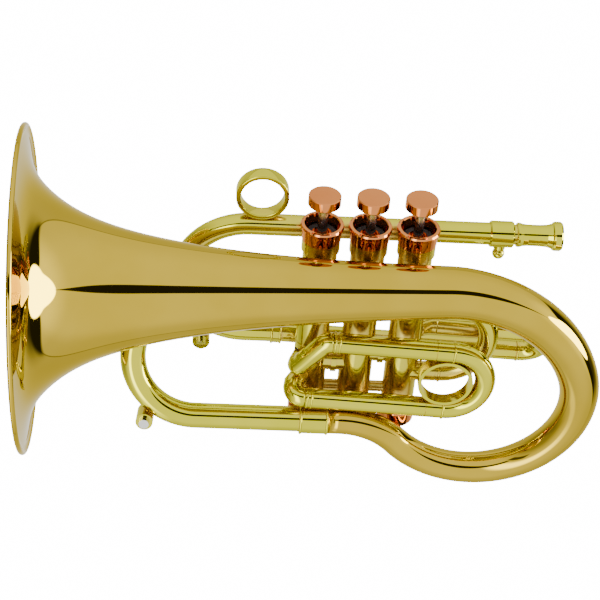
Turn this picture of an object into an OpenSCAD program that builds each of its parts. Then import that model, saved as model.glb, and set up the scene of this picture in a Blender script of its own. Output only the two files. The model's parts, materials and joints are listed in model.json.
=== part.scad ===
// Compact cornet with a shepherd's-crook bell tail and three piston valves.
// The bell opens towards -X and the mouthpiece goes in at +X. +Z runs up the valves.
// Sizes are given in the valve frame: its zero is the middle valve's axis, level with the
// rims of the top caps. placed() moves every piece to the part's own origin, which is the
// centre of the mouthpiece receiver's mouth.

/* [Valves] */
// Distance between neighbouring valve axes
valve_pitch = 27; // [26:0.5:29]
// Distance from the top caps' rims to the bottom caps' undersides
valve_height = 142; // [138:1:146]
// Outer radius of a valve casing
casing_r = 9.7; // [9.5:0.05:9.9]
// Radius of the bore in which a piston slides
casing_bore_r = 8.55; // [8.4:0.05:8.6]
// Outer radius of a top cap
cap_r = 12.3; // [11.8:0.1:12.6]
// Height of a top cap's visible wall
cap_h = 10.5; // [9:0.5:11]
// Radius of a finger button
button_r = 9.2; // [8:0.1:9.3]
// Height of a button's top above the caps' rims
button_top = 19.1; // [18.6:0.1:20]

/* [Bell] */
// Radius of the bell's rim
bell_rim_r = 91; // [86:1:94]
// Length of the flare and stem, from the rim to the crook
bell_length = 235; // [230:1:240]
// Upward slope of the bell's axis towards the player, in degrees
bell_tilt = 1.7; // [1:0.1:2]
// Slope of the bell's axis away from the valves, in degrees
bell_toe = 0.6; // [0:0.1:1]
// Wall thickness of the bell and crook
bell_wall = 0.9; // [0.7:0.1:1.2]
// Outer radius of the crook's tail end
tail_r = 8.2; // [8:0.1:8.4]

/* [Leadpipe] */
// Outer radius of the leadpipe
lead_r = 6.45; // [6.3:0.05:6.6]
// Distance of the leadpipe from the valves' centre plane
lead_y = 19; // [18.5:0.5:20]
// Height of the leadpipe below the caps' rims
lead_drop = 16.4; // [16:0.1:17]
// Bend radius of the leadpipe's front bow
lead_bow_r = 39; // [38:0.5:40]
// Small-end radius of the mouthpiece receiver's bore
receiver_bore_r = 5.2; // [5:0.05:5.4]

/* [Slides] */
// Outer radius of the valve slides' sleeves
slide_r = 6; // [5.8:0.05:6]
// Radius of the sleeves' bore, in which the inner legs slide
sleeve_bore_r = 5.5; // [5.4:0.05:5.55]
// Running clearance between a leg or piston and its bore
running_gap = 0.04; // [0.02:0.01:0.08]
// Downward slope of the rear slides towards the player, in degrees
slide_droop = 3.1; // [2.5:0.1:3.5]
// Bend radius of the third valve slide
third_bow_r = 21.4; // [21:0.1:22]
// Bend radius of the first valve slide
first_bow_r = 26; // [25:0.5:26]
// Bend radius of the second valve slide
second_bow_r = 9.5; // [9:0.1:9.6]

/* [Hidden] */
$fn = 48;

GOLD_BRASS = [0.78, 0.60, 0.27];
YELLOW_BRASS = [0.80, 0.76, 0.42];
COPPER = [0.80, 0.50, 0.36];
NICKEL = [0.78, 0.78, 0.76];
STEEL = [0.60, 0.61, 0.63];
FELT = [0.12, 0.10, 0.10];

// Cutters run this far past the faces that they cut
cut = 0.5;
// Gap between pieces that are soldered or screwed together
seat_gap = 0.02;

// The receiver's mouth in the valve frame
mouth_x = 112.5;
origin_shift = [-mouth_x, -lead_y, lead_drop];

// Valve levels
cap_plate_z = -8.5;
cap_plate_h = 2;
spigot_h = 4;
well_r = 9.75;
stem_r = 2.8;
// Raised ring in a cap's well, round the stem's hole
stem_ring_r = 5.4;
stem_ring_z = -6.4;
felt_h = 2;
piston_top = -18;
piston_bottom = -112;
piston_r = casing_bore_r - running_gap;
piston_recess = 3;
bottom_cap_h = 11;
bottom_cap_r = 10.9;
bottom_floor_h = 3;
floor_z = -valve_height + bottom_floor_h;
casing_collar_r = 10.8;
casing_collar_h = 7;
casing_ring_z = -82.8;
port_r = 5.5;
spring_r = 6.4;
spring_wire_r = 0.5;

// Heights of the ports
main_port_z = -75.6;
branch_z = -57;
crossover_21_z = -90;
crossover_32_z = -98;
second_slide_z = -39;
piston_ports = [branch_z, main_port_z, -97];

// Bell
bell_start = [44, -30, -22.2];
rim_bead_r = 1.5;
rim_wire_r = 1;

// Crook: [bend radius, angle turned], then the slide sideways towards the valves
crook_arcs = [[65.5, 10.6], [88, 62], [59.9, 154.4], [48.3, -45.3]];
crook_side_shift = 10;
crook_steps = 13;
crook_taper = 1.48;
tail_x = -15;

// Bottom tube and front bow
bottom_y = -20;
ferrule_r = 8.45;
ferrule_front_x = -32;
bow_x = -93;
bow_tube_r = 7.5;
branch_y = 2.1;

// Leadpipe
lead_bow_x = -66;
lead_joint_x = -27;
lead_bore_r = 5.9;
lead_bow_tube_r = lead_r - 0.15;
collar_front_x = 70.5;
collar_rear_x = 84.4;
receiver_front_x = 86.1;

// Third slide, in its own frame at the bow's centre
third_origin = [52.8, -20, -94.7];
third_sleeve_end = -10.8;
third_upper_start = -70.4;
third_lower_start = -81.4;

// Main slide: the lower sleeve's length, and the way from the lower leg to the upper one
main_length = 144.5;
main_rise = [22.3 * sin(slide_droop), -9.5, 22.3 * cos(slide_droop)];
main_bow_seat = 1.4;
main_port = [29, 1, main_port_z];

// First slide
first_y = -2.8;
first_z = -76.3;
first_bow_x = 49.4;

// Water keys
key_r = 5.1;
key_length = 14;
key_off = 11.6;
plunger_r = 2.9;
key_travel = 2.5;

module placed() {
    translate(origin_shift) children();
}

function valve_x(n) = (2 - n) * valve_pitch;

// ---- General shapes ----

// Tube along +X from the origin
module tube(length, outer, bore) {
    rotate([0, 90, 0]) difference() {
        cylinder(h = length, r = outer);
        translate([0, 0, -cut]) cylinder(h = length + 2 * cut, r = bore);
    }
}

// Raised ring round a tube that runs along X
module bead(radius, width = 1.4) {
    rotate([0, 90, 0]) rotate_extrude() translate([radius - 0.1, 0]) circle(r = width / 2);
}

// Half-circle of tube that opens towards -X, from -Z round +X to +Z
module bow(radius, outer, bore) {
    rotate([90, 0, 0]) rotate([0, 0, -90]) rotate_extrude(angle = 180)
        translate([radius, 0]) difference() {
            circle(r = outer);
            circle(r = bore);
        }
}

// Solid rod from a to b
module rod(a, b, radius) {
    v = b - a;
    translate(a) rotate([0, acos(v[2] / norm(v)), atan2(v[1], v[0])])
        cylinder(h = norm(v), r = radius);
}

// Straight tube from a to b
module pipe(a, b, outer, bore) {
    way = (b - a) / norm(b - a);
    difference() {
        rod(a, b, outer);
        rod(a - cut * way, b + cut * way, bore);
    }
}

// Room that a valve's casing takes, which tubes that meet it are coped to
module casing_room(n) {
    translate([valve_x(n), 0, -valve_height]) cylinder(h = valve_height, r = casing_r + seat_gap);
}

// Hollow skin through rings of points, made as one closed mesh. No stretch runs along aside.
module swept_tube(path, outer, bore, sides, aside = [0, 1, 0]) {
    rings = len(path);
    function side(i) = i == 0 ? path[1] - path[0]
        : i == rings - 1 ? path[i] - path[i - 1] : path[i + 1] - path[i - 1];
    function ring(i, radius) = let (
            t = side(i) / norm(side(i)),
            c = cross(aside, t),
            u = c / norm(c),
            v = cross(t, u))
        [for (k = [0 : sides - 1]) path[i] + radius * (cos(360 * k / sides) * u
            + sin(360 * k / sides) * v)];
    points = concat(
        [for (i = [0 : rings - 1]) each ring(i, outer[i])],
        [for (i = [0 : rings - 1]) each ring(i, bore[i])]);
    inner = rings * sides;
    function next(k) = (k + 1) % sides;
    faces = concat(
        [for (i = [0 : rings - 2], k = [0 : sides - 1])
            [i * sides + k, (i + 1) * sides + k, (i + 1) * sides + next(k), i * sides + next(k)]],
        [for (i = [0 : rings - 2], k = [0 : sides - 1])
            [inner + i * sides + k, inner + i * sides + next(k),
                inner + (i + 1) * sides + next(k), inner + (i + 1) * sides + k]],
        [for (k = [0 : sides - 1]) [k, next(k), inner + next(k), inner + k]],
        [for (k = [0 : sides - 1]) let (e = (rings - 1) * sides)
            [e + next(k), e + k, inner + e + k, inner + e + next(k)]]);
    polyhedron(points = points, faces = faces, convexity = 6);
}

// Points along a bend that leaves a towards b and arrives at c
function bend_points(a, b, c, steps = 6) = [for (i = [0 : steps]) let (u = i / steps)
    (1 - u) * (1 - u) * a + 2 * u * (1 - u) * b + u * u * c];

// ---- Valves ----

module valve_casing(n) {
    x = valve_x(n);
    top = -cap_h - seat_gap;
    bottom = floor_z + seat_gap;
    color(YELLOW_BRASS) placed() difference() {
        translate([x, 0, 0]) union() {
            translate([0, 0, bottom]) cylinder(h = top - bottom, r = casing_r);
            translate([0, 0, top - casing_collar_h]) cylinder(h = casing_collar_h, r = casing_collar_r);
            translate([0, 0, casing_ring_z]) rotate([0, 90, 0]) bead(casing_r, 1);
        }
        translate([x, 0, -valve_height]) cylinder(h = valve_height, r = casing_bore_r);
        if (n == 1) first_ports();
        if (n == 1) rod([x, 0, main_port_z], [x + 20, 10, main_port_z], port_r);
        if (n == 2) second_ports();
        if (n == 3) rod([x, 0, branch_z], [-60, branch_y, branch_z], port_r);
        if (n == 3) third_ports();
        if (n != 3) rod([0, 0, crossover_21_z], [valve_pitch, 0, crossover_21_z], port_r);
        if (n != 1) rod([0, 0, crossover_32_z], [-valve_pitch, 0, crossover_32_z], port_r);
    }
}

module first_ports() {
    for (s = [-1, 1]) translate([valve_pitch, first_y, first_z + s * first_bow_r])
        rotate([0, 90, 0]) cylinder(h = 20, r = port_r);
}

module second_ports() {
    for (s = [-1, 1]) translate([0, 0, second_slide_z + s * second_bow_r])
        rotate([-90, 0, 0]) cylinder(h = 20, r = port_r - 0.3);
}

third_upper_port = [-34, -4, -92.5];
third_lower_port = [-33, -5, -105.5];

module third_ports() {
    rod([-27, 2, third_upper_port[2]], [-38, -9, third_upper_port[2]], port_r);
    rod([-27, 2, third_lower_port[2]], [-38, -9, third_lower_port[2]], port_r);
}

module top_cap(n) {
    color(COPPER) placed() translate([valve_x(n), 0, 0]) difference() {
        rotate_extrude() polygon([
            [stem_ring_r, cap_plate_z], [stem_ring_r, stem_ring_z], [stem_ring_r - 1, stem_ring_z],
            [stem_ring_r - 1, cap_plate_z], [stem_r + 0.4, cap_plate_z],
            [stem_r + 0.4, cap_plate_z - cap_plate_h],
            [casing_bore_r - 1.5, cap_plate_z - cap_plate_h],
            [casing_bore_r - 1.5, -cap_h - spigot_h],
            [casing_bore_r - seat_gap, -cap_h - spigot_h], [casing_bore_r - seat_gap, -cap_h],
            [cap_r - 1.6, -cap_h], [cap_r - 1.3, -cap_h + 0.4], [cap_r - 1, -3.4],
            [cap_r - 0.2, -2.6], [cap_r, -1.2], [cap_r - 0.5, -0.2],
            [cap_r - 1.2, 0], [well_r + 0.4, 0], [well_r, -0.5], [well_r, cap_plate_z]]);
    }
}

module bottom_caps() {
    color(COPPER) placed() for (n = [1 : 3]) translate([valve_x(n), 0, -valve_height])
        difference() {
            rotate_extrude() polygon([[2, 0], [bottom_cap_r - 2.4, 0], [bottom_cap_r - 1, 0.8],
                [bottom_cap_r, 2.2], [bottom_cap_r, bottom_cap_h - 1],
                [bottom_cap_r - 0.6, bottom_cap_h], [2, bottom_cap_h]]);
            translate([0, 0, bottom_floor_h]) cylinder(h = bottom_cap_h, r = casing_r + seat_gap);
            translate([0, 0, -cut]) cylinder(h = bottom_cap_h, r = 2.5);
        }
}

// Thin shell, open below through a hole in its spring seat, with the air's passages across it
module piston(n) {
    color(NICKEL) placed() translate([valve_x(n), 0, 0]) difference() {
        union() {
            difference() {
                translate([0, 0, piston_bottom]) cylinder(h = piston_top - piston_bottom, r = piston_r);
                translate([0, 0, piston_bottom + piston_recess + 1.5])
                    cylinder(h = piston_top - 8 - piston_bottom - piston_recess - 1.5, r = piston_r - 1);
            }
            intersection() {
                for (z = piston_ports) translate([-12, 0, z]) rotate([0, 90, 0])
                    cylinder(h = 24, r = port_r + 0.7);
                translate([0, 0, piston_bottom + 6])
                    cylinder(h = piston_top - piston_bottom - 12, r = piston_r - 0.5);
            }
        }
        translate([0, 0, piston_top - 6]) cylinder(h = 6 + cut, r = stem_r + seat_gap);
        translate([0, 0, piston_bottom - cut]) cylinder(h = piston_recess + cut, r = piston_r - 1.2);
        translate([0, 0, piston_bottom]) cylinder(h = 10, r = 4);
        for (z = piston_ports) translate([-12, 0, z]) rotate([0, 90, 0]) cylinder(h = 24, r = port_r);
    }
}

module valve_stem(n) {
    color(STEEL) placed() translate([valve_x(n), 0, piston_top - 6])
        cylinder(h = 14 - piston_top + 6, r = stem_r);
}

// Thick flat button on a short hub
module finger_button(n) {
    color(COPPER) placed() translate([valve_x(n), 0, button_top]) difference() {
        rotate_extrude() polygon([[0, 0], [button_r - 0.5, 0], [button_r, -0.5],
            [button_r, -5.7], [button_r - 0.6, -6.3], [4.6, -6.3], [3.9, -7.2], [3.9, -9.6],
            [0, -9.6]]);
        translate([0, 0, -10]) cylinder(h = 14 - button_top + 10 + seat_gap,
            r = stem_r + seat_gap);
    }
}

module cap_felts() {
    color(FELT) placed() for (n = [1 : 3])
        translate([valve_x(n), 0, cap_plate_z + seat_gap]) difference() {
            cylinder(h = felt_h, r = 8.6);
            translate([0, 0, -cut]) cylinder(h = felt_h + 2 * cut, r = stem_ring_r + 0.1);
        }
}

module piston_felt(n) {
    color(FELT) placed() translate([valve_x(n), 0, piston_top + seat_gap]) difference() {
        cylinder(h = 3.2, r = 7.6);
        translate([0, 0, -cut]) cylinder(h = 3.2 + 2 * cut, r = stem_r + seat_gap);
    }
}

// Coil spring along +Z from low to high
module coil(radius, wire_r, turns, low, high) {
    sides = 6;
    steps = turns * 14;
    function out(i) = [cos(360 * turns * i / steps), sin(360 * turns * i / steps), 0];
    function at(i) = radius * out(i) + [0, 0, low + (high - low) * i / steps];
    points = [for (i = [0 : steps], k = [0 : sides - 1])
        at(i) + wire_r * (cos(360 * k / sides) * out(i) + sin(360 * k / sides) * [0, 0, 1])];
    faces = concat(
        [for (i = [0 : steps - 1], k = [0 : sides - 1])
            [i * sides + k, i * sides + (k + 1) % sides,
                (i + 1) * sides + (k + 1) % sides, (i + 1) * sides + k]],
        [[for (k = [0 : sides - 1]) sides - 1 - k]],
        [[for (k = [0 : sides - 1]) steps * sides + k]]);
    polyhedron(points = points, faces = faces, convexity = 8);
}

// Spring between a piston and its bottom cap
module valve_spring(n) {
    end_gap = spring_wire_r + 0.1;
    color(STEEL) placed() translate([valve_x(n), 0, 0])
        coil(spring_r, spring_wire_r, 8, floor_z + end_gap, piston_bottom + piston_recess - end_gap);
}

// Short tubes that join the casings, each with a collar round its middle
module crossover_knuckles() {
    color(YELLOW_BRASS) placed() for (x = [-valve_pitch / 2, valve_pitch / 2]) {
        z = x > 0 ? crossover_21_z : crossover_32_z;
        difference() {
            translate([x, 0, z]) rotate([0, 90, 0]) union() {
                cylinder(h = valve_pitch, r = 6.6, center = true);
                cylinder(h = 3, r = 7.6, center = true);
            }
            translate([x - valve_pitch, 0, z]) rotate([0, 90, 0])
                cylinder(h = 2 * valve_pitch, r = port_r);
            for (n = [1 : 3]) casing_room(n);
        }
    }
}

// ---- Bell and crook ----

function flare_r(d) = 12.2 + 38.5 * exp(-d / 87) + 20.8 * exp(-d / 17)
    + (bell_rim_r - 71.5) * exp(-d / 1.9);

module bell_place() {
    translate(bell_start) rotate([0, 0, bell_toe]) rotate([0, -90 - bell_tilt, 0]) children();
}

// Profile steps get finer towards the rim; d is the distance from the rim's plane
flare_steps = 40;
flare_d = [for (i = [0 : flare_steps]) (bell_length - rim_bead_r) * pow(i / flare_steps, 2.4)];

module bell() {
    outer = [for (d = flare_d) [flare_r(d), bell_length - rim_bead_r - d]];
    inner = [for (i = [flare_steps : -1 : 0])
        [flare_r(flare_d[i]) - bell_wall - (i < 4 ? 0.6 : 0),
            bell_length - rim_bead_r - flare_d[i] + (i < 8 ? bell_wall : 0)]];
    color(GOLD_BRASS) placed() bell_place() difference() {
        union() {
            rotate_extrude($fn = 96) polygon(concat(outer, inner));
            rotate_extrude($fn = 96) translate([bell_rim_r - rim_bead_r, bell_length - rim_bead_r])
                circle(r = rim_bead_r, $fn = 24);
        }
        rotate_extrude($fn = 96) translate([bell_rim_r - rim_bead_r, bell_length - rim_bead_r])
            circle(r = rim_wire_r + seat_gap, $fn = 24);
    }
}

// Wire inside the rolled rim
module rim_wire() {
    color(STEEL) placed() bell_place() rotate_extrude($fn = 96)
        translate([bell_rim_r - rim_bead_r, bell_length - rim_bead_r])
            circle(r = rim_wire_r, $fn = 24);
}

// Points [x, z, heading, way gone] along a chain of arcs, from one that ends at p
function arc_steps(p, arcs, k = 0, i = 0) = k == len(arcs) ? []
    : let (
        turn = arcs[k][1] / crook_steps,
        step = arcs[k][0] * abs(turn) * PI / 180,
        mid = p[2] - turn / 2,
        q = [p[0] + step * cos(mid), p[1] + step * sin(mid), p[2] - turn, p[3] + step],
        done = i == crook_steps - 1)
    concat([q], arc_steps(q, arcs, done ? k + 1 : k, done ? 0 : i + 1));

// The bell leans sideways where the crook doesn't, so their faces need a little more room
crook_gap = 0.15;
crook_start = [bell_start[0] + crook_gap, bell_start[2], bell_tilt, 0];
crook_line = concat([crook_start], arc_steps(crook_start, crook_arcs));
crook_end = crook_line[len(crook_line) - 1];
bottom_z = crook_end[1];
crook_way = crook_end[3] + crook_end[0] - tail_x;
crook_flat = concat(crook_line, [[tail_x, bottom_z, 180, crook_way]]);
function ease(u) = u * u * (3 - 2 * u);

module bell_crook() {
    stem = flare_r(bell_length - rim_bead_r);
    path = [for (p = crook_flat)
        [p[0], bell_start[1] + crook_side_shift * ease(p[3] / crook_way), p[1]]];
    outer = [for (p = crook_flat) tail_r + (stem - tail_r) * pow(1 - p[3] / crook_way, crook_taper)];
    bore = [for (r = outer) r - bell_wall];
    color(GOLD_BRASS) placed() swept_tube(path, outer, bore, 28);
}

// Sleeve that joins the crook to the bottom tube
module tail_ferrule() {
    length = tail_x - ferrule_front_x;
    color(YELLOW_BRASS) placed() translate([ferrule_front_x, bottom_y, bottom_z]) difference() {
        union() {
            tube(length, ferrule_r, tail_r - bell_wall);
            translate([0.8, 0, 0]) bead(ferrule_r);
            translate([length - 0.8, 0, 0]) bead(ferrule_r);
        }
        rotate([0, 90, 0]) cylinder(h = 3, r = bow_tube_r + seat_gap);
    }
}

bow_span = [0, branch_y - bottom_y, branch_z - bottom_z];
front_bow_r = norm(bow_span) / 2;
bow_lean = atan2(bow_span[1], bow_span[2]);
bow_middle = [bow_x, (bottom_y + branch_y) / 2, (bottom_z + branch_z) / 2];

module bow_place() {
    translate(bow_middle) rotate([-bow_lean, 0, 0]) children();
}

// Front bow with the bottom tube in one piece
module front_bow() {
    color(YELLOW_BRASS) placed() bow_place() {
        mirror([1, 0, 0]) bow(front_bow_r, bow_tube_r, bow_tube_r - 0.8);
        translate([0, 0, -front_bow_r])
            tube(ferrule_front_x + 3 - bow_x - seat_gap, bow_tube_r, bow_tube_r - 0.8);
    }
}

// Angle of the bow's water key from straight down
key_angle = 36.7;

module bell_branch() {
    color(YELLOW_BRASS) placed() difference() {
        translate([bow_x + seat_gap, branch_y, branch_z])
            tube(valve_x(3) - bow_x, bow_tube_r, bow_tube_r - 0.8);
        casing_room(3);
    }
}

// ---- Leadpipe ----

module leadpipe() {
    color(YELLOW_BRASS) placed() translate([lead_joint_x, lead_y, -lead_drop])
        tube(collar_front_x + 4 - seat_gap - lead_joint_x, lead_r, lead_bore_r);
}

// Clamp at the leadpipe's end, in which the receiver's shank slides
module receiver_collar() {
    length = collar_rear_x - collar_front_x;
    color(YELLOW_BRASS) placed() translate([collar_front_x, lead_y, -lead_drop]) difference() {
        union() {
            rotate([0, 90, 0]) rotate_extrude() polygon([[0, 0], [lead_r + 0.5, 0],
                [lead_r + 1.2, 0.8], [lead_r + 1.2, length - 0.8], [lead_r + 0.5, length], [0, length]]);
            translate([length / 2, 0, -9.5]) cylinder(h = 9.5, r = 3.4);
        }
        translate([-cut, 0, 0]) rotate([0, 90, 0]) cylinder(h = 4 + cut, r = lead_r + seat_gap);
        rotate([0, 90, 0]) cylinder(h = length + cut, r = lead_bore_r);
        translate([length / 2, 0, -10]) cylinder(h = 10, r = 1.6);
    }
}

// Receiver with its shank. The mouthpiece seats in the wide end's bore.
module mouthpiece_receiver() {
    length = mouth_x - receiver_front_x;
    shank = 30;
    color(YELLOW_BRASS) placed() translate([receiver_front_x, lead_y, -lead_drop]) difference() {
        union() {
            translate([-shank, 0, 0]) rotate([0, 90, 0])
                cylinder(h = shank + 1, r = lead_bore_r - running_gap);
            rotate([0, 90, 0]) rotate_extrude() polygon([[0, 0], [6.7, 0], [7.1, 0.6],
                [7.1, 1.8], [6.5, 3.6], [6.2, 6.4], [6.2, 13], [6.5, 17.6], [7.3, 20.4], [8.1, 21],
                [8.5, 22], [8.5, length - 1.2], [7.7, length - 0.1], [6.9, length], [0, length]]);
        }
        translate([-shank - cut, 0, 0]) rotate([0, 90, 0]) cylinder(h = shank + length, r = 4.4);
        translate([length - 22, 0, 0]) rotate([0, 90, 0]) cylinder(h = 22 + cut, r = receiver_bore_r);
    }
}

module clamp_screw() {
    color(YELLOW_BRASS) placed()
        translate([(collar_front_x + collar_rear_x) / 2, lead_y, -lead_drop]) {
            translate([0, 0, -13]) cylinder(h = 13 - lead_bore_r - 0.05, r = 1.55);
            translate([0, 0, -13.4]) difference() {
                sphere(r = 3.6);
                translate([-5, -5, 2.6]) cube([10, 10, 5]);
            }
        }
}

module leadpipe_bow() {
    low = -lead_drop - 2 * lead_bow_r;
    color(YELLOW_BRASS) placed() {
        translate([lead_bow_x, lead_y, -lead_drop - lead_bow_r]) mirror([1, 0, 0])
            bow(lead_bow_r, lead_bow_tube_r, lead_bore_r - 0.3);
        translate([lead_bow_x, lead_y, -lead_drop])
            tube(lead_joint_x - seat_gap - lead_bow_x, lead_bow_tube_r, lead_bore_r - 0.3);
        translate([lead_bow_x, lead_y, low]) tube(18, lead_bow_tube_r, lead_bore_r - 0.3);
    }
}

main_dir = [cos(slide_droop), 0, -sin(slide_droop)];
main_start = [-47, lead_y, -lead_drop - 2 * lead_bow_r];
main_low = main_start + main_length * main_dir;

module leadpipe_ferrules() {
    color(YELLOW_BRASS) placed() {
        translate([lead_joint_x - 3, lead_y, -lead_drop]) tube(6, lead_r + 0.5, lead_r + seat_gap);
        translate([main_start[0] - 3.4, lead_y, main_start[2]]) difference() {
            union() {
                tube(6.4, lead_r + 0.35, lead_bow_tube_r + seat_gap);
                translate([0.6, 0, 0]) bead(lead_r + 0.3);
                translate([5.6, 0, 0]) bead(lead_r + 0.3);
            }
            translate([-2, 0, 0]) rotate([0, 90, 0]) cylinder(h = 12, r = lead_bow_tube_r + seat_gap);
        }
    }
}

// Ring for the little finger, on top of the leadpipe
module pinky_ring() {
    outer = 15;
    color(YELLOW_BRASS) placed() translate([-60.5, lead_y, -lead_drop + lead_r + outer - 0.3])
        difference() {
            rotate([90, 0, 0]) translate([0, 0, -4.5]) difference() {
                cylinder(h = 9, r = outer);
                translate([0, 0, -cut]) cylinder(h = 9 + 2 * cut, r = 12.3);
            }
            translate([-30, 0, 0.3 - outer - lead_r]) rotate([0, 90, 0])
                cylinder(h = 60, r = lead_bow_tube_r + seat_gap);
        }
}

// ---- Main tuning slide ----

module main_lower_sleeve() {
    color(YELLOW_BRASS) placed() pipe(main_start + seat_gap * main_dir,
        main_low - 0.5 * main_dir, slide_r, sleeve_bore_r);
}

main_top = main_low + main_rise;
main_neck = main_top - 52.4 * main_dir;

module main_upper_sleeve() {
    color(YELLOW_BRASS) placed() pipe(main_neck, main_top - 0.5 * main_dir, slide_r, sleeve_bore_r);
}

// Bent tube from the first valve to the upper sleeve
module main_slide_elbow() {
    path = concat([main_neck - seat_gap * main_dir],
        bend_points(main_neck - 1.5 * main_dir, main_neck - 8 * main_dir, main_port));
    color(YELLOW_BRASS) placed() difference() {
        swept_tube(path, [for (p = path) slide_r], [for (p = path) sleeve_bore_r], 20, [0.3, 0, 1]);
        casing_room(1);
    }
}

module main_place() {
    translate(main_low + main_rise / 2) rotate([0, slide_droop, 0])
        rotate([-atan2(main_rise[1], main_rise[2]), 0, 0]) children();
}

module main_slide_legs() {
    half = norm(main_rise) / 2;
    color(YELLOW_BRASS) placed() main_place() for (s = [-1, 1])
        translate([-44, 0, s * half])
            tube(44 + main_bow_seat, sleeve_bore_r - running_gap, sleeve_bore_r - 0.6);
}

module main_slide_bow() {
    half = norm(main_rise) / 2;
    color(YELLOW_BRASS) placed() main_place() difference() {
        union() {
            translate([main_bow_seat, 0, 0]) bow(half, slide_r, sleeve_bore_r - 0.6);
            for (s = [-1, 1]) translate([0, 0, s * half]) {
                tube(main_bow_seat, slide_r, sleeve_bore_r - 0.6);
                translate([0.7, 0, 0]) bead(slide_r, 1.2);
            }
        }
        for (s = [-1, 1]) translate([-cut, 0, s * half]) rotate([0, 90, 0])
            cylinder(h = main_bow_seat + cut + seat_gap, r = sleeve_bore_r - running_gap + seat_gap);
    }
}

// ---- Third valve slide ----

module third_place() {
    translate(third_origin) rotate([0, slide_droop, 0]) children();
}

function third_point(x, z) = third_origin
    + [x * cos(slide_droop) + z * sin(slide_droop), 0, -x * sin(slide_droop) + z * cos(slide_droop)];

// Straight outer tube of a leg, with a double bead where the elbow joins it
module third_sleeve(start, z) {
    third_place() translate([start, 0, z]) difference() {
        union() {
            tube(third_sleeve_end - start, slide_r, sleeve_bore_r);
            for (x = [1, 3.6]) translate([x, 0, 0]) bead(slide_r, 1.2);
        }
        translate([-cut, 0, 0]) rotate([0, 90, 0]) cylinder(h = 6, r = sleeve_bore_r);
    }
}

module third_slide_sleeves() {
    color(YELLOW_BRASS) placed() {
        third_sleeve(third_upper_start, third_bow_r);
        third_sleeve(third_lower_start, -third_bow_r);
    }
}

function toward(a, b, way) = a + (b - a) / norm(b - a) * way;

function elbow_path(start, corner, turn, port) = concat(
    bend_points(start, corner, toward(corner, turn, norm(corner - start))),
    bend_points(toward(turn, corner, 7), turn, toward(turn, port, 7)), [port]);

upper_elbow = elbow_path(third_point(third_upper_start - seat_gap, third_bow_r),
    third_point(third_upper_start - 3.8, third_bow_r), [-36.6, -16.5, -92.5],
    third_upper_port + [4, 4, 0]);
lower_elbow = concat(
    bend_points(third_point(third_lower_start - seat_gap, -third_bow_r),
        third_point(third_lower_start - 7.5, -third_bow_r), [-36.6, -13, -107.4], 8),
    [third_lower_port + [4, 4, 0]]);

// Room that a third slide's sleeve takes at its elbow
module third_sleeve_room(start, z) {
    third_place() translate([start - seat_gap, 0, z]) rotate([0, 90, 0])
        cylinder(h = 20, r = slide_r + 1);
}

// Elbows that carry the third slide's sleeves round to the casing
module third_slide_elbows() {
    color(YELLOW_BRASS) placed() for (path = [upper_elbow, lower_elbow]) difference() {
        swept_tube(path, [for (p = path) slide_r], [for (p = path) sleeve_bore_r], 20, [0.3, 0, 1]);
        casing_room(3);
        third_sleeve_room(third_upper_start, third_bow_r);
        third_sleeve_room(third_lower_start, -third_bow_r);
    }
}

module third_slide_legs() {
    color(YELLOW_BRASS) placed() third_place() for (s = [-1, 1])
        translate([third_sleeve_end - 45, 0, s * third_bow_r])
            tube(45 - third_sleeve_end - 2, sleeve_bore_r - running_gap, sleeve_bore_r - 0.6);
}

module third_slide_bow() {
    start = third_sleeve_end + 0.3;
    color(YELLOW_BRASS) placed() third_place() difference() {
        union() {
            bow(third_bow_r, slide_r, sleeve_bore_r - 0.6);
            for (s = [-1, 1]) translate([start, 0, s * third_bow_r]) {
                tube(-start, slide_r, sleeve_bore_r - 0.6);
                translate([-start - 0.4, 0, 0]) bead(slide_r, 1.4);
            }
        }
        for (s = [-1, 1]) translate([start - cut, 0, s * third_bow_r]) rotate([0, 90, 0])
            cylinder(h = -start + cut - 2 + seat_gap, r = sleeve_bore_r - running_gap + seat_gap);
    }
}

// Finger ring between the third slide's legs
module third_slide_ring() {
    outer = third_bow_r - slide_r + 0.6;
    color(YELLOW_BRASS) placed() third_place() difference() {
        translate([-2, 0, 0]) rotate([90, 0, 0]) translate([0, 0, -3.8]) difference() {
            cylinder(h = 7.6, r = outer);
            translate([0, 0, -cut]) cylinder(h = 7.6 + 2 * cut, r = outer - 2);
        }
        for (s = [-1, 1]) translate([0, 0, s * third_bow_r]) rotate([0, 90, 0]) {
            cylinder(h = 60, r = slide_r + seat_gap, center = true);
            translate([0, 0, -0.4]) cylinder(h = 1.8, r = slide_r + 0.7, center = true);
        }
    }
}

// ---- First valve slide ----

module first_slide_sleeves() {
    color(YELLOW_BRASS) placed() difference() {
        for (s = [-1, 1]) translate([valve_pitch + 4, first_y, first_z + s * first_bow_r]) {
            tube(first_bow_x - valve_pitch - 7, slide_r - 0.2, sleeve_bore_r - 0.2);
            translate([7.5, 0, 0]) difference() {
                bead(slide_r - 0.2);
                translate([-2, 0, 0]) rotate([0, 90, 0]) cylinder(h = 4, r = sleeve_bore_r - 0.2);
            }
        }
        casing_room(1);
    }
}

module first_slide_legs() {
    start = valve_pitch + casing_r + 0.6;
    color(YELLOW_BRASS) placed() for (s = [-1, 1])
        translate([start, first_y, first_z + s * first_bow_r])
            tube(first_bow_x - 0.5 - start, sleeve_bore_r - 0.2 - running_gap, sleeve_bore_r - 0.8);
}

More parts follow.
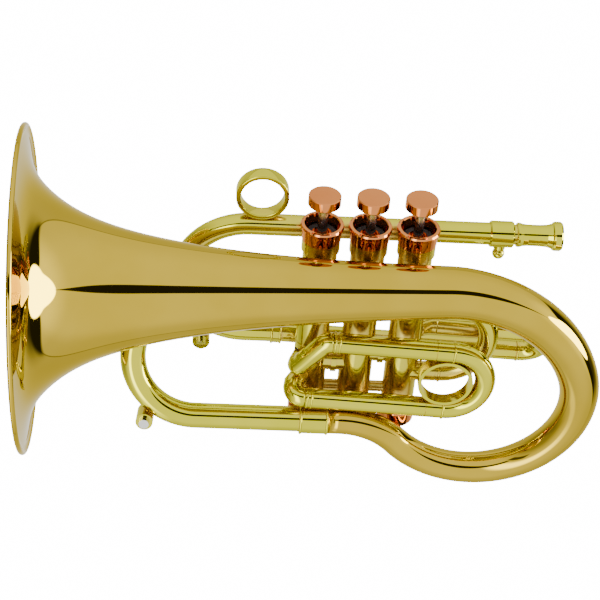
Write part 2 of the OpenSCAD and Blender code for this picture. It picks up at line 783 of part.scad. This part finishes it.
module first_slide_bow() {
    start = first_bow_x - 2.7;
    color(YELLOW_BRASS) placed() translate([0, first_y, first_z]) difference() {
        union() {
            translate([first_bow_x, 0, 0]) bow(first_bow_r, slide_r - 0.2, sleeve_bore_r - 0.8);
            for (s = [-1, 1]) translate([start, 0, s * first_bow_r]) {
                tube(2.7, slide_r - 0.2, sleeve_bore_r - 0.8);
                translate([2.2, 0, 0]) bead(slide_r - 0.2, 1.4);
            }
        }
        for (s = [-1, 1]) translate([start - cut, 0, s * first_bow_r]) rotate([0, 90, 0])
            cylinder(h = 2.2 + cut + seat_gap, r = sleeve_bore_r - 0.2 - running_gap + seat_gap);
    }
}

// ---- Second valve slide, on the far side ----

second_sleeve_end = 25;

module second_place() {
    translate([0, 0, second_slide_z]) rotate([0, 0, 90]) children();
}

module second_slide_sleeves() {
    color(YELLOW_BRASS) placed() difference() {
        second_place() for (s = [-1, 1]) translate([4, 0, s * second_bow_r])
            tube(second_sleeve_end - 4, 5.6, 5.1);
        casing_room(2);
        translate([0, 0, -cap_h - casing_collar_h]) cylinder(h = 9, r = casing_collar_r + seat_gap);
    }
}

module second_slide_legs() {
    color(YELLOW_BRASS) placed() second_place() for (s = [-1, 1])
        translate([casing_r + 1.2, 0, s * second_bow_r])
            tube(second_sleeve_end + 2 - casing_r - 1.2, 5.1 - running_gap, 4.5);
}

module second_slide_bow() {
    color(YELLOW_BRASS) placed() second_place() difference() {
        union() {
            translate([second_sleeve_end + 3, 0, 0]) bow(second_bow_r, 5.6, 4.5);
            for (s = [-1, 1]) translate([second_sleeve_end + 0.3, 0, s * second_bow_r]) {
                tube(2.7, 5.6, 4.5);
                translate([2, 0, 0]) bead(5.6, 1.2);
            }
        }
        for (s = [-1, 1]) translate([second_sleeve_end, 0, s * second_bow_r]) rotate([0, 90, 0])
            cylinder(h = 2 + seat_gap, r = 5.1 - running_gap + seat_gap);
    }
}

// ---- Water keys ----

// Places children at a water key: axis along -Y, the middle of the body at the origin
module bow_key_place() {
    bow_place() rotate([0, key_angle, 0]) translate([0, 0, -front_bow_r - key_off])
        rotate([bow_lean - 12, 0, 0]) children();
}

lead_key_angle = 30;

module lead_key_place() {
    translate([lead_bow_x, lead_y, -lead_drop - lead_bow_r]) rotate([0, lead_key_angle, 0])
        translate([0, 0, -lead_bow_r - key_off]) children();
}

module key_body() {
    difference() {
        union() {
            rotate([90, 0, 0]) translate([0, 0, -key_length / 2]) cylinder(h = key_length, r = key_r);
            cylinder(h = key_off - bow_tube_r + 1.5, r = 3.2);
        }
        rotate([90, 0, 0]) translate([0, 0, -key_length / 2 + 2])
            cylinder(h = key_length, r = plunger_r + running_gap);
    }
}

module water_key_bodies() {
    color(YELLOW_BRASS) placed() {
        difference() {
            bow_key_place() key_body();
            bow_place() mirror([1, 0, 0]) bow(front_bow_r, bow_tube_r + seat_gap, 0.5);
        }
        difference() {
            lead_key_place() key_body();
            translate([lead_bow_x, lead_y, -lead_drop - lead_bow_r]) mirror([1, 0, 0])
                bow(lead_bow_r, lead_bow_tube_r + seat_gap, 0.5);
        }
    }
}

// Plunger, hollow at its inner end for the spring
module key_plunger() {
    rotate([90, 0, 0]) translate([0, 0, key_travel + 3.5 - key_length / 2]) difference() {
        cylinder(h = key_length - key_travel - 0.7, r = plunger_r);
        translate([0, 0, -cut]) cylinder(h = 7 + cut, r = plunger_r - 0.5);
    }
}

module bow_water_plunger() {
    color(NICKEL) placed() bow_key_place() key_plunger();
}

module lead_water_plunger() {
    color(NICKEL) placed() lead_key_place() key_plunger();
}

module key_spring() {
    rotate([90, 0, 0]) translate([0, 0, -key_length / 2]) coil(1.8, 0.3, 4, 2.4, 9.6);
}

module bow_water_spring() {
    color(STEEL) placed() bow_key_place() key_spring();
}

module lead_water_spring() {
    color(STEEL) placed() lead_key_place() key_spring();
}

// ---- Braces ----

module braces() {
    color(YELLOW_BRASS) placed() difference() {
        union() {
            for (n = [1, 3])
                rod([valve_x(n), 0, -lead_drop - 4.5], [valve_x(n), lead_y, -lead_drop - 2], 2.2);
            rod([0, 0, -27], [0, -30, -23.5], 2.4);
            rod([valve_x(3), 0, -128], [valve_x(3), bottom_y, bottom_z], 2.6);
            rod([valve_x(3), 0, -118], [valve_x(1), 0, -118], 3.4);
        }
        for (n = [1 : 3]) {
            casing_room(n);
            translate([valve_x(n), 0, -cap_h - casing_collar_h - 0.1])
                cylinder(h = 9, r = casing_collar_r + seat_gap);
        }
        translate([-80, lead_y, -lead_drop]) rotate([0, 90, 0])
            cylinder(h = 160, r = lead_r + seat_gap);
        translate([lead_joint_x - 4, lead_y, -lead_drop]) rotate([0, 90, 0])
            cylinder(h = 8, r = lead_r + 0.5 + seat_gap);
        bell_place() rotate_extrude() polygon(concat([[0, bell_length], [0, 0]],
            [for (i = [flare_steps : -1 : 0])
                [flare_r(flare_d[i]) + seat_gap, bell_length - rim_bead_r - flare_d[i]]]));
        translate([-60, bottom_y, bottom_z]) rotate([0, 90, 0])
            cylinder(h = 60, r = ferrule_r + seat_gap);
    }
}

valve_casing(1);  // valve_casing_1
valve_casing(2);  // valve_casing_2
valve_casing(3);  // valve_casing_3
top_cap(1);  // top_cap_1
top_cap(2);  // top_cap_2
top_cap(3);  // top_cap_3
bottom_caps();
piston(1);  // piston_1
piston(2);  // piston_2
piston(3);  // piston_3
valve_stem(1);  // valve_stem_1
valve_stem(2);  // valve_stem_2
valve_stem(3);  // valve_stem_3
finger_button(1);  // finger_button_1
finger_button(2);  // finger_button_2
finger_button(3);  // finger_button_3
cap_felts();
piston_felt(1);  // piston_felt_1
piston_felt(2);  // piston_felt_2
piston_felt(3);  // piston_felt_3
valve_spring(1);  // valve_spring_1
valve_spring(2);  // valve_spring_2
valve_spring(3);  // valve_spring_3
crossover_knuckles();
bell();
rim_wire();
bell_crook();
tail_ferrule();
front_bow();
bell_branch();
leadpipe();
receiver_collar();
mouthpiece_receiver();
clamp_screw();
leadpipe_bow();
leadpipe_ferrules();
pinky_ring();
main_lower_sleeve();
main_upper_sleeve();
main_slide_elbow();
main_slide_legs();
main_slide_bow();
third_slide_sleeves();
third_slide_elbows();
third_slide_legs();
third_slide_bow();
third_slide_ring();
first_slide_sleeves();
first_slide_legs();
first_slide_bow();
second_slide_sleeves();
second_slide_legs();
second_slide_bow();
water_key_bodies();
bow_water_plunger();
lead_water_plunger();
bow_water_spring();
lead_water_spring();
braces();
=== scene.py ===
"""Looks for the compact shepherd's-crook cornet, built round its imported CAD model."""
import json
import math

import bpy
from mathutils import Matrix, Vector


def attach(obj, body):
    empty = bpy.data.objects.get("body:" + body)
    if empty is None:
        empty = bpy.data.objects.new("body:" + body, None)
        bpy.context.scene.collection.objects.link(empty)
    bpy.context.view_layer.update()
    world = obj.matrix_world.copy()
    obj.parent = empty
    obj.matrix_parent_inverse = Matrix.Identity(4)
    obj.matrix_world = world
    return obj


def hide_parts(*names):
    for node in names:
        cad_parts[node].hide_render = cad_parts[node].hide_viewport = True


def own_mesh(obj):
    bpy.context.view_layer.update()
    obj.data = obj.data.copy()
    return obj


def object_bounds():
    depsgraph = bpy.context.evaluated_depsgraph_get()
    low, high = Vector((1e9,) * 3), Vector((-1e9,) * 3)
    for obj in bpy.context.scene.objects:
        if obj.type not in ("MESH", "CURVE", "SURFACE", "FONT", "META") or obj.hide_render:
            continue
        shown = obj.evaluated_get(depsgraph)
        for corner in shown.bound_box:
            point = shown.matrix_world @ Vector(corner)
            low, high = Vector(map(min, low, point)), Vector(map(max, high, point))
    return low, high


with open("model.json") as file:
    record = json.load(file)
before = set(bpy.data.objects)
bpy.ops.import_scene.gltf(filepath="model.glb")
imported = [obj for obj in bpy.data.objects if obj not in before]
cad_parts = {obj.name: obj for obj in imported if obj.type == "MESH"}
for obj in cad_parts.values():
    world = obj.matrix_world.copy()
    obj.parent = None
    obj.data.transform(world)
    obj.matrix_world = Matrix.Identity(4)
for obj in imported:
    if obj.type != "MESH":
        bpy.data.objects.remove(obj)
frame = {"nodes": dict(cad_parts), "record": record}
cad_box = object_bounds()
scene = bpy.context.scene

# ---- Camera -------------------------------------------------------------------------

TURN = -0.0770  # round the vertical, radians
RISE = 0.6674  # above the horizon, radians
ROLL = 0.0869
AIM = Vector((-0.14835, -0.019, -0.03883))
AWAY = 1.1082
FOCAL = 115.886  # mm, on a sensor 36 mm wide


def make_camera():
    toward = Vector(
        (math.sin(TURN) * math.cos(RISE), -math.cos(TURN) * math.cos(RISE), math.sin(RISE))
    )
    side = Vector((math.cos(TURN), math.sin(TURN), 0))
    up = toward.cross(side)
    right = math.cos(ROLL) * side + math.sin(ROLL) * up
    top = math.cos(ROLL) * up - math.sin(ROLL) * side
    lens = bpy.data.cameras.new("camera")
    lens.sensor_width = 36
    lens.lens = FOCAL
    lens.clip_end = 20
    camera = bpy.data.objects.new("camera", lens)
    scene.collection.objects.link(camera)
    facing = Matrix((right, top, toward)).transposed().to_4x4()
    camera.matrix_world = Matrix.Translation(AIM + AWAY * toward) @ facing
    scene.camera = camera


make_camera()

# ---- Node helpers -------------------------------------------------------------------


class Nodes:
    """Short way to add and join shader nodes."""

    def __init__(self, tree):
        self.tree = tree
        tree.nodes.clear()

    def add(self, kind, **values):
        node = self.tree.nodes.new(kind)
        for key, value in values.items():
            setattr(node, key, value)
        return node

    def put(self, socket, value):
        """Join an output to a socket, or set the socket to a plain value."""
        if isinstance(value, bpy.types.NodeSocket):
            self.tree.links.new(value, socket)
        else:
            socket.default_value = value

    def fill(self, node, *values):
        """Fill a node's first sockets, and give its first output."""
        for socket, value in zip(node.inputs, values):
            self.put(socket, value)
        return node.outputs[0]

    def math(self, operation, first, second=0.0):
        return self.fill(self.add("ShaderNodeMath", operation=operation), first, second)

    def dot(self, first, second):
        node = self.add("ShaderNodeVectorMath", operation="DOT_PRODUCT")
        self.fill(node, first, second)
        return node.outputs["Value"]

    def ramp(self, value, low, high, out_low=0.0, out_high=1.0):
        """From out_low to out_high, with a soft start and end."""
        node = self.add("ShaderNodeMapRange", interpolation_type="SMOOTHSTEP")
        return self.fill(node, value, low, high, out_low, out_high)

    def ramp_line(self, value, low, high):
        """0 at low, 1 at high, straight between."""
        return self.fill(self.add("ShaderNodeMapRange"), value, low, high)

    def between(self, value, low, high, soft):
        """1 between low and high, 0 outside, with soft edges."""
        rise = self.ramp(value, low - soft, low + soft)
        fall = self.ramp(value, high - soft, high + soft, 1.0, 0.0)
        return self.math("MULTIPLY", rise, fall)

    def mix(self, factor, first, second):
        """Mix of two numbers."""
        node = self.add("ShaderNodeMix", data_type="FLOAT")
        self.put(node.inputs[0], factor)
        self.put(node.inputs[2], first)
        self.put(node.inputs[3], second)
        return node.outputs[0]

    def mix_colour(self, factor, first, second):
        node = self.add("ShaderNodeMix", data_type="RGBA")
        self.put(node.inputs[0], factor)
        self.put(node.inputs[6], first)
        self.put(node.inputs[7], second)
        return node.outputs[2]

    def noise(self, place, scale, detail, rough=0.5):
        node = self.add("ShaderNodeTexNoise")
        node.inputs["Scale"].default_value = scale
        node.inputs["Detail"].default_value = detail
        node.inputs["Roughness"].default_value = rough
        self.put(node.inputs["Vector"], place)
        return node.outputs[0]

    def bump(self, height, strength, distance):
        node = self.add("ShaderNodeBump")
        node.inputs["Strength"].default_value = strength
        node.inputs["Distance"].default_value = distance
        self.put(node.inputs["Height"], height)
        return node.outputs[0]


# ---- Light tent ---------------------------------------------------------------------

PANEL = 1.75  # glow of the tent's walls
BEHIND = 1.1  # glow of the sweep behind the horn
END = 20.0  # glow of the open end to the player's side
STRIP = 7.5  # glow of the lamp past the bell
STRIP_FOOT = 2.4  # glow of the same lamp's lower end
SEAM = 0.45  # glow of the seam between the walls and the sweep
STAND = 0.15  # glow of the stand beside the lamp
DARK = 0.03  # the slot and the corners of the tent
WHITE = 16.0  # glow of the plain background where the camera sees it
WALL_EDGE = 117.5  # degrees round from the camera to where the walls stop
SLOT_TURN = 1.5  # degrees from the camera up to the slot's middle
DAYLIGHT = (1, 1, 0.98, 1)
LAMPLIGHT = (1, 0.97, 0.7, 1)


def tent():
    """Two pale walls above and below the camera with a dark slot between them.

    The player's end is a bright opening with dark corners, and a lamp stands past the bell.
    A direction has a turn, in degrees from the camera over the top, and a lean, in degrees
    towards the player.
    """
    world = bpy.data.worlds.new("tent")
    scene.world = world
    world.use_nodes = True
    n = Nodes(world.node_tree)
    way = n.add("ShaderNodeTexCoord").outputs["Generated"]
    forward = n.dot(way, (0, -math.cos(RISE), math.sin(RISE)))
    upward = n.dot(way, (0, math.sin(RISE), math.cos(RISE)))
    turn = n.math("DEGREES", n.math("ARCTAN2", upward, forward))
    lean = n.math("DEGREES", n.math("ARCSINE", n.dot(way, (1, 0, 0))))
    size = n.math("ABSOLUTE", turn)
    # Walls and sweep, dimmer past the bell, with a thin dark seam between them
    dim = n.ramp(lean, -72, -30, 0.3, 1.0)
    wall = n.math("MULTIPLY", n.ramp(size, 60, WALL_EDGE, PANEL, 0.85 * PANEL), dim)
    wall = n.math("MULTIPLY", wall, n.ramp(lean, 52, 72, 1.0, 1.5))
    wall = n.math("MULTIPLY", wall, n.ramp(turn, -100, -75, 0.85, 1.0))
    sweep = n.math("MULTIPLY", n.ramp(size, 130, 180, BEHIND, 1.3 * BEHIND), dim)
    sweep = n.math("MULTIPLY", sweep, n.ramp(lean, 42, 66, 1.0, 0.08))
    glow = n.mix(n.ramp(size, WALL_EDGE - 0.6, WALL_EDGE + 0.6), wall, sweep)
    glow = n.mix(n.between(size, WALL_EDGE - 0.7, WALL_EDGE + 0.7, 0.7), glow, SEAM)
    # Dark corners between the walls and the open end
    spread = n.math("POWER", n.ramp_line(lean, 46, 74), 1.7)
    near = n.math("ADD", n.math("SUBTRACT", size, WALL_EDGE), n.math("MULTIPLY", spread, 40))
    far = n.math("SUBTRACT", n.math("SUBTRACT", size, WALL_EDGE + 2), n.math("MULTIPLY", spread, 26))
    corner = n.math("MULTIPLY", n.ramp(near, -2, 4), n.ramp(far, -5, 7, 1.0, 0.0))
    corner = n.math("MULTIPLY", corner, n.ramp(lean, 45, 53))
    glow = n.mix(corner, glow, DARK)
    # Open end, nearest along the slot
    edge = n.ramp(size, 0, 60, 66.5, 75.5)
    glow = n.mix(n.ramp(n.math("SUBTRACT", lean, edge), -0.8, 0.8), glow, END)
    # Lamp past the bell, with a dark stand beside it
    strip = n.math("MULTIPLY", n.between(lean, -30, -13, 5), n.between(turn, -110, -6, 6))
    glow = n.mix(strip, glow, n.ramp(turn, -88, -55, STRIP_FOOT, STRIP))
    stand = n.math("MULTIPLY", n.between(lean, -47, -38, 2), n.between(turn, -28, 12, 4))
    glow = n.mix(stand, glow, STAND)
    # The slot, which narrows towards both ends
    width = n.math("MINIMUM", n.ramp(lean, 25, 70, 9.0, 0.3), n.ramp(lean, -20, 8, 5.5, 9.0))
    level = n.math("ABSOLUTE", n.math("SUBTRACT", turn, SLOT_TURN))
    inside = n.ramp(n.math("SUBTRACT", level, width), -0.6, 0.6, 1.0, 0.0)
    inside = n.math("MULTIPLY", inside, n.between(lean, -36, 67, 1))
    glow = n.mix(inside, glow, DARK)
    glow = n.mix(n.add("ShaderNodeLightPath").outputs["Is Camera Ray"], glow, WHITE)
    paint = n.add("ShaderNodeBackground")
    warm = n.ramp(lean, -60, -15, 1.0, 0.0)
    n.put(paint.inputs["Color"], n.mix_colour(warm, DAYLIGHT, LAMPLIGHT))
    n.put(paint.inputs["Strength"], glow)
    n.put(n.add("ShaderNodeOutputWorld").inputs[0], paint.outputs[0])


tent()


def make_floor():
    """Plain pale floor that the camera sees and the horn doesn't mirror."""
    bpy.ops.mesh.primitive_plane_add(size=16, location=(-0.15, 0, cad_box[0][2] - 0.30))
    floor = bpy.context.object
    floor.name = "floor"
    material = bpy.data.materials.new("pale_floor")
    material.use_nodes = True
    n = Nodes(material.node_tree)
    clear = n.add("ShaderNodeBsdfTransparent")
    glow = n.add("ShaderNodeEmission")
    glow.inputs["Strength"].default_value = WHITE
    seen = n.add("ShaderNodeLightPath").outputs["Is Camera Ray"]
    mixed = n.fill(n.add("ShaderNodeMixShader"), seen, clear.outputs[0], glow.outputs[0])
    n.put(n.add("ShaderNodeOutputMaterial").inputs[0], mixed)
    floor.data.materials.append(material)


make_floor()

# ---- Materials ----------------------------------------------------------------------


def polished(name, colour, tint, edge, rough, coat, wave, painted_shade=None):
    """Lacquered or polished metal: faint drift in tone, fine wipe marks and a slight waviness.

    Where other parts stand close its colour turns to the given painted shade colour, standing in for
    the shade and dim reflections there, and its finish turns rougher.
    """
    material = bpy.data.materials.new(name)
    material.use_nodes = True
    n = Nodes(material.node_tree)
    place = n.add("ShaderNodeTexCoord").outputs["Object"]
    drift = n.noise(place, 22, 3)
    wipe = n.noise(place, 120, 6, 0.65)
    paint = n.mix_colour(n.ramp(drift, 0.35, 0.65), (*colour, 1), (*tint, 1))
    haze = n.ramp(wipe, 0.3, 0.75, rough * 0.7, rough * 1.4)
    # Painted shade: ambient occlusion mixes a brown colour in where other parts stand close;
    # roughness also rises there.
    if painted_shade:
        near = n.add("ShaderNodeAmbientOcclusion", samples=8)
        near.inputs["Distance"].default_value = 0.03
        reach = n.ramp(near.outputs["AO"], 0.25, 0.85)
        paint = n.mix_colour(reach, (*painted_shade, 1), paint)
        haze = n.mix(reach, 0.3, haze)
    shader = n.add("ShaderNodeBsdfPrincipled")
    shader.inputs["Metallic"].default_value = 1
    shader.inputs["Specular Tint"].default_value = (*edge, 1)
    shader.inputs["Coat Weight"].default_value = coat
    shader.inputs["Coat Roughness"].default_value = 0.03
    n.put(shader.inputs["Base Color"], paint)
    n.put(shader.inputs["Roughness"], haze)
    n.put(shader.inputs["Normal"], n.bump(drift, 0.15, wave))
    n.put(n.add("ShaderNodeOutputMaterial").inputs[0], shader.outputs[0])
    return material


def felt(name, colour):
    """Dense wool felt with a fine nap."""
    material = bpy.data.materials.new(name)
    material.use_nodes = True
    n = Nodes(material.node_tree)
    place = n.add("ShaderNodeTexCoord").outputs["Object"]
    fuzz = n.noise(place, 1800, 4)
    shader = n.add("ShaderNodeBsdfPrincipled")
    dark = tuple(0.5 * c for c in colour)
    n.put(shader.inputs["Base Color"], n.mix_colour(fuzz, (*dark, 1), (*colour, 1)))
    shader.inputs["Roughness"].default_value = 0.95
    shader.inputs["Sheen Weight"].default_value = 0.3
    n.put(shader.inputs["Normal"], n.bump(fuzz, 0.6, 0.0003))
    n.put(n.add("ShaderNodeOutputMaterial").inputs[0], shader.outputs[0])
    return material


LACQUER = 0.02
MATERIALS = {
    "gold_brass": polished(
        "gold_brass", (0.46, 0.32, 0.022), (0.49, 0.345, 0.03), (0.86, 0.79, 0.5),
        0.03, LACQUER, 0.00015,
    ),
    # Yellow brass carries painted brown shade where other parts stand close.
    "yellow_brass": polished(
        "yellow_brass", (0.54, 0.51, 0.022), (0.58, 0.54, 0.035), (0.88, 0.85, 0.5),
        0.05, LACQUER, 0.00015, painted_shade=(0.54, 0.37, 0.09),
    ),
    "copper": polished(
        "copper", (0.56, 0.19, 0.05), (0.6, 0.22, 0.065), (1.0, 0.72, 0.55),
        0.05, LACQUER, 0.0003,
    ),
    "nickel": polished(
        "nickel", (0.66, 0.65, 0.62), (0.7, 0.69, 0.66), (1, 1, 1), 0.1, 0.0, 0.0006
    ),
    "steel": polished(
        "steel", (0.5, 0.5, 0.5), (0.56, 0.55, 0.54), (1, 1, 1), 0.2, 0.0, 0.0006
    ),
    "felt": felt("felt", (0.02, 0.017, 0.018)),
}

slots = {part["node"]: part["material_slot"] for part in frame["record"]["subparts"]}
for name, node in frame["nodes"].items():
    node.data.materials.clear()
    node.data.materials.append(MATERIALS[slots[name]])
    node.data.shade_smooth()

# ---- Smooth pieces in place of faceted CAD nodes ----------------------------------------

MM = 0.001
SHIFT = Vector((-112.5, -19, 16.4))  # mm, from the valves' own zero to the receiver's mouth
ACROSS = Vector((0, 1, 0))


def skin(name, rings, node_names, material, aside=ACROSS, sides=96):
    """One closed smooth surface through rings of (centre, way the ring faces, radius), in mm.

    No ring faces along aside.
    """
    points = []
    for centre, way, radius in rings:
        first = aside.cross(way).normalized()
        second = way.cross(first).normalized()
        for k in range(sides):
            angle = 2 * math.pi * k / sides
            out = math.cos(angle) * first + math.sin(angle) * second
            points.append((centre + SHIFT + radius * out) * MM)
    faces = []
    for i in range(len(rings)):
        here = i * sides
        there = (i + 1) % len(rings) * sides
        for k in range(sides):
            after = (k + 1) % sides
            faces.append((here + k, here + after, there + after, there + k))
    mesh = bpy.data.meshes.new(name)
    mesh.from_pydata(points, [], faces)
    mesh.update()
    piece = bpy.data.objects.new(name, mesh)
    scene.collection.objects.link(piece)
    mesh.shade_smooth()
    mesh.materials.append(MATERIALS[material])
    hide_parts(*node_names)
    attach(piece, "horn")
    return piece


BELL_START = Vector((44, -30, -22.2))
BELL_LENGTH = 233.5
BELL_TOE = math.radians(0.6)
BELL_TILT = math.radians(1.7)
BELL_RIM = 91
BELL_WALL = 0.9
BEAD = 1.5
CROOK_ARCS = [(65.5, 10.6), (88, 62), (59.9, 154.4), (48.3, -45.3)]  # radius, degrees turned
CROOK_END = -15.0
CROOK_END_RADIUS = 8.2
CROOK_LEAN = 10  # mm towards the leadpipe's side on the way round


def flare(way):
    """The bell's outer radius at a distance from its rim."""
    return (
        12.2
        + 38.5 * math.exp(-way / 87)
        + 20.8 * math.exp(-way / 17)
        + 19.5 * math.exp(-way / 1.9)
    )


def crook_line():
    """Points of the crook's middle as (x, z, way along it)."""
    x, z = BELL_START.x, BELL_START.z
    heading, way = BELL_TILT, 0.0
    line = []
    for radius, degrees in CROOK_ARCS:
        steps = max(8, int(abs(degrees) / 2.2))
        turn = math.radians(degrees) / steps
        for _ in range(steps):
            step = radius * abs(turn)
            x += step * math.cos(heading - turn / 2)
            z += step * math.sin(heading - turn / 2)
            heading -= turn
            way += step
            line.append((x, z, way))
    line.append((CROOK_END, z, way + x - CROOK_END))
    return line


def crook_rings():
    """Rings of the crook's outside, from the bell's tail to the ferrule."""
    line = crook_line()
    total = line[-1][2]
    points = [BELL_START]
    shares = []
    for x, z, way in line:
        share = way / total
        shares.append(share)
        points.append(Vector((x, BELL_START.y + CROOK_LEAN * share**2 * (3 - 2 * share), z)))
    stem = flare(BELL_LENGTH)
    rings = []
    for i, share in enumerate(shares, 1):
        before = (points[i] - points[i - 1]).normalized()
        after = (points[min(i + 1, len(points) - 1)] - points[i]).normalized()
        radius = CROOK_END_RADIUS + (stem - CROOK_END_RADIUS) * (1 - share) ** 1.48
        rings.append((points[i], (before + after).normalized(), radius))
    return rings


def bell_and_crook():
    """Bell, rolled rim and crook as one continuous drawn surface, as the real tail is."""
    axis = Vector(
        (
            -math.cos(BELL_TILT) * math.cos(BELL_TOE),
            -math.cos(BELL_TILT) * math.sin(BELL_TOE),
            -math.sin(BELL_TILT),
        )
    )

    def ring(along, radius):
        return BELL_START + along * axis, -axis, radius

    ways = [BELL_LENGTH * (i / 130) ** 2.4 for i in range(131)]
    outer = [ring(BELL_LENGTH - way, flare(way)) for way in reversed(ways) if way > 0.4]
    rim = []
    for i in range(25):
        angle = math.radians(235 - 295 * i / 24)
        along = BELL_LENGTH + BEAD * math.cos(angle)
        rim.append(ring(along, BELL_RIM - BEAD + BEAD * math.sin(angle)))
    inner = [
        ring(BELL_LENGTH + 0.2 - way, flare(way) - BELL_WALL - 0.6) for way in ways if way > 0.35
    ]
    crook = crook_rings()
    lining = [(centre, way, radius - BELL_WALL) for centre, way, radius in crook]
    rings = crook[::-1] + outer + rim + inner + lining
    skin("bell_body", rings, ["bell", "bell_crook"], "gold_brass", sides=128)


def finger_ring():
    """The little finger's ring, a band with rounded edges."""
    corner, half_width, thickness, outside = 0.8, 4.5, 2.7, 15
    centre = Vector((-60.5, 19, 4.7))
    rings = []
    for k in range(28):
        angle = 2 * math.pi * (k + 0.5) / 28
        wide, high = math.cos(angle), math.sin(angle)
        width = math.copysign(half_width - corner, wide) + corner * wide
        level = outside - thickness / 2 + math.copysign(thickness / 2 - corner, high) + corner * high
        rings.append((centre + width * ACROSS, -ACROSS, level))
    skin("little_finger_ring", rings, ["pinky_ring"], "yellow_brass", aside=Vector((0, 0, 1)))


bell_and_crook()
finger_ring()

# ---- Springs and elbows ---------------------------------------------------------------


def spring_follows_valve(number):
    """Gives the spring its own copy of its mesh."""
    spring = frame["nodes"][f"valve_spring_{number}"]
    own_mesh(spring)


def smooth_elbow(name):
    """Even shading over an elbow's facets."""
    elbow = frame["nodes"][name]
    weld = elbow.modifiers.new("weld", "WELD")
    weld.merge_threshold = 0.00001
    even = elbow.modifiers.new("even", "WEIGHTED_NORMAL")
    even.mode = "CORNER_ANGLE"


for number in (1, 2, 3):
    spring_follows_valve(number)
for name in ("third_slide_elbows", "main_slide_elbow"):
    smooth_elbow(name)
